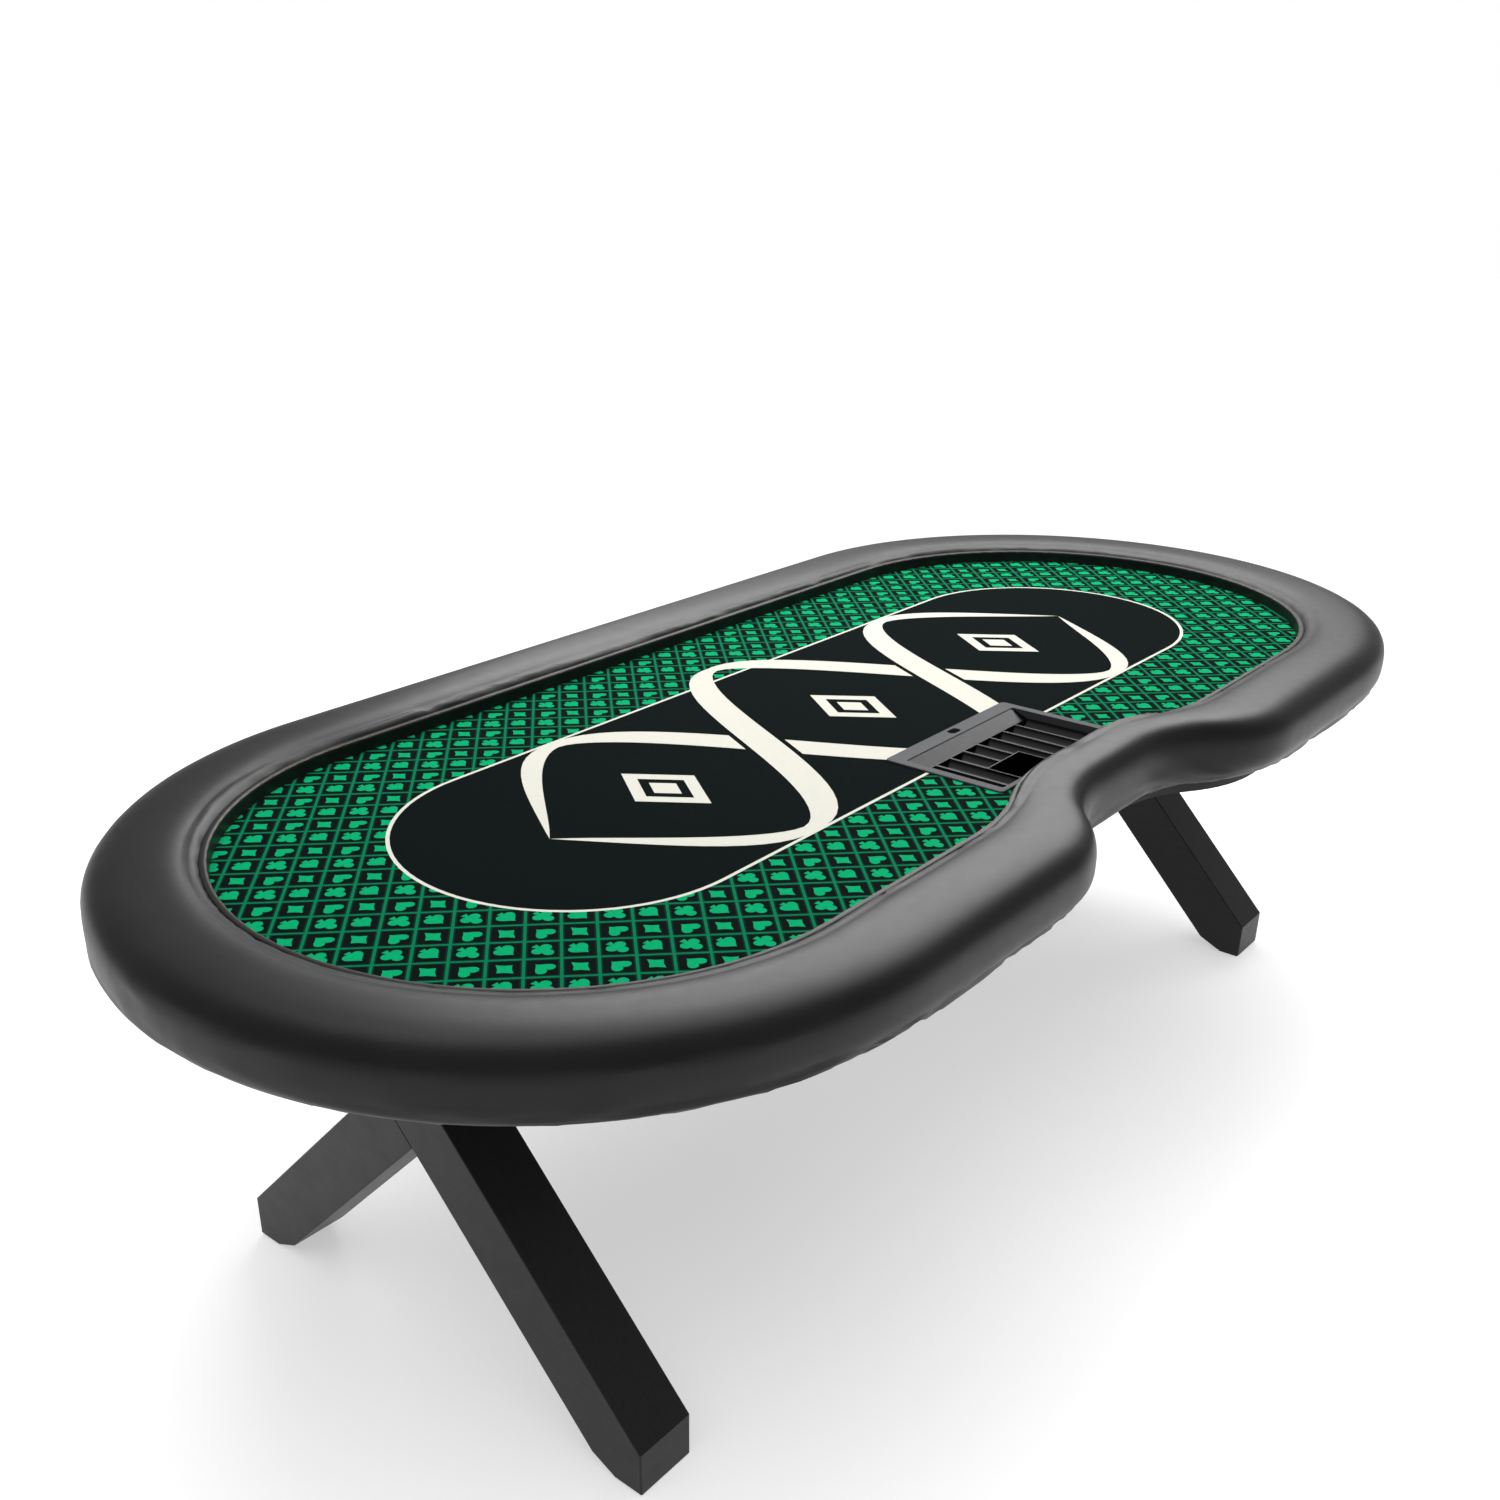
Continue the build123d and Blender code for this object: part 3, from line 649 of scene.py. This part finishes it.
# two ribbons that weave over and under each other; later shapes lie on earlier ones
def buildOrnament():
    count = round(2 * ribbon["turns"])
    under, gaps, over = [], [], []
    for way in (1, -1):
        under.append((inks["offWhite"], ribbonStrip(0, 1, way, 0, 26 * count)))
    for index in range(1, count):
        way = 1 if index % 2 == 0 else -1
        t = index / count
        reach, longer = ribbon["gapReach"], ribbon["overReach"]
        gaps.append((inks["nearBlack"], ribbonStrip(t - reach, t + reach, way, ribbon["gap"], 12)))
        over.append((inks["offWhite"], ribbonStrip(t - longer, t + longer, way, 0, 12)))
    for index in range(count):
        x, _ = ribbonPoint((index + 0.5) / count, 1)
        for reach, ink in ribbon["lozenges"]:
            tall = reach * ribbon["lozengeStretch"]
            over.append((inks[ink], [(x + reach, 0), (x, tall), (x - reach, 0), (x, -tall)]))
    return under + gaps + over


def stadiumPoints(halfStraight, halfWidth, count=40):
    points = []
    for side in (1, -1):
        for i in range(count + 1):
            angle = -math.pi / 2 + math.pi * i / count
            across = side * (halfStraight + halfWidth * math.cos(angle))
            points.append((across, side * halfWidth * math.sin(angle)))
    return points


def trayCut(low, high):
    margin, corner = cloth["cutMargin"], cloth["cutCorner"]
    cut = []
    for sx, sy, turn in ((1, 1, 0), (-1, 1, 90), (-1, -1, 180), (1, -1, 270)):
        cx = (high.x + margin - corner) * sx
        cy = (high.y + margin - corner) if sy > 0 else (low.y - margin + corner)
        for i in range(5):
            angle = math.radians(turn + 90 * i / 4)
            cut.append(((cx + corner * math.cos(angle)) / square, (cy + corner * math.sin(angle)) / square))
    return cut


# the stretch of a segment, in grid squares, that lies in one tile, or None
def clipToTile(a, b, i, j):
    low, high = 0.0, 1.0
    for start, delta, floor in ((a[0], b[0] - a[0], i), (a[1], b[1] - a[1], j)):
        if abs(delta) < 1e-12:
            if not floor <= start <= floor + 1:
                return None
            continue
        t1, t2 = (floor - start) / delta, (floor + 1 - start) / delta
        low, high = max(low, min(t1, t2)), min(high, max(t1, t2))
    if high - low < 1e-9:
        return None
    return [(a[0] + (b[0] - a[0]) * t, a[1] + (b[1] - a[1]) * t) for t in (low, high)]


# what is printed in one tile, in grid squares: the inset square and the suit
def tileShapes(i, j):
    cx, cy = toTable(i + 0.5, j + 0.5)
    inset = cloth["insetHalf"]
    corners = ((-inset, -inset), (inset, -inset), (inset, inset), (-inset, inset))
    shapes = [(inks["nearBlack"], [(i + 0.5 + a, j + 0.5 + b) for a, b in corners])]
    for polygon in pips[(i % 2, j % 2)]:
        shapes.append((inks["green"], [toGrid(cx + x, cy + y) for x, y in polygon]))
    return shapes


def tileLook(i, j, u, v, shapes):
    half = cloth["lineHalf"]
    if min(u - i, v - j, i + 1 - u, j + 1 - v) < half:
        return inks["darkGreen"]
    look = inks["deepGreen"]
    for shapeLook, polygon in shapes:
        if isInside(u, v, polygon):
            look = shapeLook
    return look


def cutTile(i, j, shapes, segments):
    half = cloth["lineHalf"]
    points, edges = [], []

    def addLoop(polygon):
        start = len(points)
        points.extend(polygon)
        edges.extend((start + k, start + (k + 1) % len(polygon)) for k in range(len(polygon)))

    def addSquare(inset):
        low, high = inset, 1 - inset
        addLoop([(i + low, j + low), (i + high, j + low), (i + high, j + high), (i + low, j + high)])

    addSquare(0)
    if shapes:
        addSquare(half)
        for _, polygon in shapes:
            addLoop(polygon)
    for a, b in segments:
        edges.append((len(points), len(points) + 1))
        points.extend((a, b))
    made = delaunay_2d_cdt([Vector(p) for p in points], edges, [], 0, 1e-6, False)
    return made[0], made[2]


def buildCloth():
    rowsLow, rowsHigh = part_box("tray_rows")
    outline = [(p.x / square, p.y / square) for p in planLoop(cloth["edgeReach"])]
    cut = trayCut(rowsLow, rowsHigh)
    ornament = buildOrnament()
    halfStraight, halfWidth = cloth["fieldHalfStraight"], cloth["fieldHalfWidth"]
    innerWidth = halfWidth - cloth["fieldLineWidth"]
    borders = [outline, cut]
    borders += [stadiumPoints(halfStraight, width) for width in (halfWidth, innerWidth)]
    borders += [polygon for _, polygon in ornament]
    boxes = []
    for _, polygon in ornament:
        xs, ys = [x for x, _ in polygon], [y for _, y in polygon]
        boxes.append((min(xs), max(xs), min(ys), max(ys)))
    crossing = {}
    for polygon in borders:
        grid = [toGrid(x, y) for x, y in polygon]
        for k in range(len(grid)):
            a, b = grid[k - 1], grid[k]
            for i in range(math.floor(min(a[0], b[0])), math.floor(max(a[0], b[0])) + 1):
                for j in range(math.floor(min(a[1], b[1])), math.floor(max(a[1], b[1])) + 1):
                    stretch = clipToTile(a, b, i, j)
                    if stretch:
                        crossing.setdefault((i, j), []).append(stretch)

    # which ink shows at a point
    def lookAt(x, y, i, j, shapes):
        for (shapeLook, polygon), (x1, x2, y1, y2) in zip(reversed(ornament), reversed(boxes)):
            if x1 < x < x2 and y1 < y < y2 and isInside(x, y, polygon):
                return shapeLook
        if isInStadium(x, y, halfStraight, innerWidth):
            return inks["nearBlack"]
        if isInStadium(x, y, halfStraight, halfWidth):
            return inks["offWhite"]
        u, v = toGrid(x, y)
        return tileLook(i, j, u, v, shapes)

    bm = bmesh.new()
    templates = {}
    edgeX, edgeY = tableLength / 2 / square, tableWidth / 2 / square
    corners = [toGrid(x, y) for x in (-edgeX, edgeX) for y in (-edgeY, edgeY)]
    uRange = (math.floor(min(c[0] for c in corners)), math.ceil(max(c[0] for c in corners)))
    vRange = (math.floor(min(c[1] for c in corners)), math.ceil(max(c[1] for c in corners)))
    for i in range(*uRange):
        for j in range(*vRange):
            segments = crossing.get((i, j), [])
            cx, cy = toTable(i + 0.5, j + 0.5)
            if not segments and (not isInside(cx, cy, outline) or isInside(cx, cy, cut)):
                continue
            inField = not segments and isInStadium(cx, cy, halfStraight, innerWidth)
            kind = (i % 2, j % 2)
            if not segments and not inField and kind in templates:
                verts, triangles, looks = templates[kind]
                verts = [(x + i, y + j) for x, y in verts]
            else:
                shapes = [] if inField else tileShapes(i, j)
                verts, triangles = cutTile(i, j, shapes, segments)
                looks = []
                for triangle in triangles:
                    u = sum(verts[k].x for k in triangle) / 3
                    v = sum(verts[k].y for k in triangle) / 3
                    x, y = toTable(u, v)
                    off = segments and (not isInside(x, y, outline) or isInside(x, y, cut))
                    looks.append(None if off else lookAt(x, y, i, j, shapes))
                verts = [(p.x, p.y) for p in verts]
                if not segments and not inField:
                    templates[kind] = ([(x - i, y - j) for x, y in verts], triangles, looks)
            made = []
            for u, v in verts:
                x, y = toTable(u, v)
                made.append(bm.verts.new((x * square, y * square, clothTop)))
            for triangle, look in zip(triangles, looks):
                if look is not None:
                    face = bm.faces.new([made[k] for k in triangle])
                    face.material_index = look
    bmesh.ops.remove_doubles(bm, verts=bm.verts, dist=2e-6)
    bmesh.ops.delete(bm, geom=[v for v in bm.verts if not v.link_faces], context="VERTS")
    bmesh.ops.recalc_face_normals(bm, faces=bm.faces)
    if sum(f.normal.z * f.calc_area() for f in bm.faces) < 0:
        bmesh.ops.reverse_faces(bm, faces=bm.faces)
    flatArea = sum(f.calc_area() for f in bm.faces)
    reach = cloth["cutReach"]

    def isAtCut(point):
        return abs(point.x) < rowsHigh.x + reach and rowsLow.y - reach < point.y < rowsHigh.y + reach

    edges = [e for e in bm.edges if e.is_boundary and all(isAtCut(v.co) for v in e.verts)]
    turned = bmesh.ops.extrude_edge_only(bm, edges=edges)
    for item in turned["geom"]:
        if isinstance(item, bmesh.types.BMVert):
            item.co.z -= cloth["turnedEdge"]
    mesh = bpy.data.meshes.new("tableCloth")
    for material in (clothDark, clothDeep, clothGreen, clothWhite, clothLines):
        mesh.materials.append(material)
    bm.to_mesh(mesh)
    bm.free()
    return linkPiece("tableCloth", mesh), flatArea


tableCloth, clothArea = buildCloth()
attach(tableCloth, "table")
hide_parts("speed_cloth")
print("stage: printed cloth,", len(tableCloth.data.polygons), "faces")

floorLook = {"size": 40, "colour": srgb(205, 205, 205), "glow": 0.48}
floorMesh = bpy.data.meshes.new("studioFloor")
half = floorLook["size"] / 2
corners = [(-half, -half, 0), (half, -half, 0), (half, half, 0), (-half, half, 0)]
floorMesh.from_pydata(corners, [], [(0, 1, 2, 3)])
studioFloor = linkPiece("studioFloor", floorMesh)
floorMaterial, _, floorShader = newMaterial("studioFloor", floorLook["colour"], 0.8, 0.1)
floorShader.inputs["Emission Color"].default_value = (1, 1, 1, 1)
floorShader.inputs["Emission Strength"].default_value = floorLook["glow"]
floorMesh.materials.append(floorMaterial)

lights = {
    "far": {"at": (2.0, 1.1, 2.35), "aim": (-0.4, -0.4, 0.74), "size": (3.2, 1.3), "power": 84},
    "overhead": {"at": (0.3, 0.6, 3.4), "aim": (0, 0, 0.7), "size": (3.6, 1.8), "power": 40},
}
for name, light in lights.items():
    data = bpy.data.lights.new(name, "AREA")
    data.shape = "RECTANGLE"
    data.size, data.size_y = light["size"]
    data.energy = light["power"]
    lamp = linkPiece(name, data)
    lamp.location = light["at"]
    lamp.rotation_euler = (Vector(light["aim"]) - Vector(light["at"])).to_track_quat("-Z", "Y").to_euler()

sky = {"angle": 80, "strength": 2.2, "leanX": 4, "leanY": -6, "fill": 0.34, "backdrop": 1.0}
sun = bpy.data.lights.new("sky", "SUN")
sun.angle = math.radians(sky["angle"])
sun.energy = sky["strength"]
sunLamp = linkPiece("sky", sun)
sunLamp.rotation_euler = (math.radians(sky["leanX"]), math.radians(sky["leanY"]), 0)
sunLamp.visible_glossy = False  # soft daylight that leaves the black finishes black

# a white backdrop, with a dimmer fill from it than its own brightness
world = bpy.data.worlds.new("studio")
world.use_nodes = True
worldTree = world.node_tree
backdrop = worldTree.nodes["Background"]
backdrop.inputs["Color"].default_value = (1, 1, 1, 1)
seen = worldTree.nodes.new("ShaderNodeLightPath")
glow = remap(worldTree, seen.outputs["Is Camera Ray"], sky["fill"], sky["backdrop"])
worldTree.links.new(glow, backdrop.inputs["Strength"])
bpy.context.scene.world = world
bpy.context.scene.view_settings.view_transform = "Standard"

view = {
    "at": (-2.0115, -1.3616, 1.5418),
    "turn": math.radians(40.34),
    "down": math.radians(25.32),
    "focal": 36.811,
    "shift": (0.038, 0.080),
}


def placeCamera():
    data = bpy.data.cameras.new("camera")
    data.lens = view["focal"]
    data.shift_x, data.shift_y = view["shift"]
    camera = linkPiece("camera", data)
    turn, down = view["turn"], view["down"]
    ahead = Vector((math.cos(down) * math.cos(turn), math.cos(down) * math.sin(turn), -math.sin(down)))
    camera.rotation_mode = "QUATERNION"
    camera.rotation_quaternion = ahead.to_track_quat("-Z", "Y")
    camera.location = view["at"]
    bpy.context.scene.camera = camera


placeCamera()
print("stage: lights and camera")
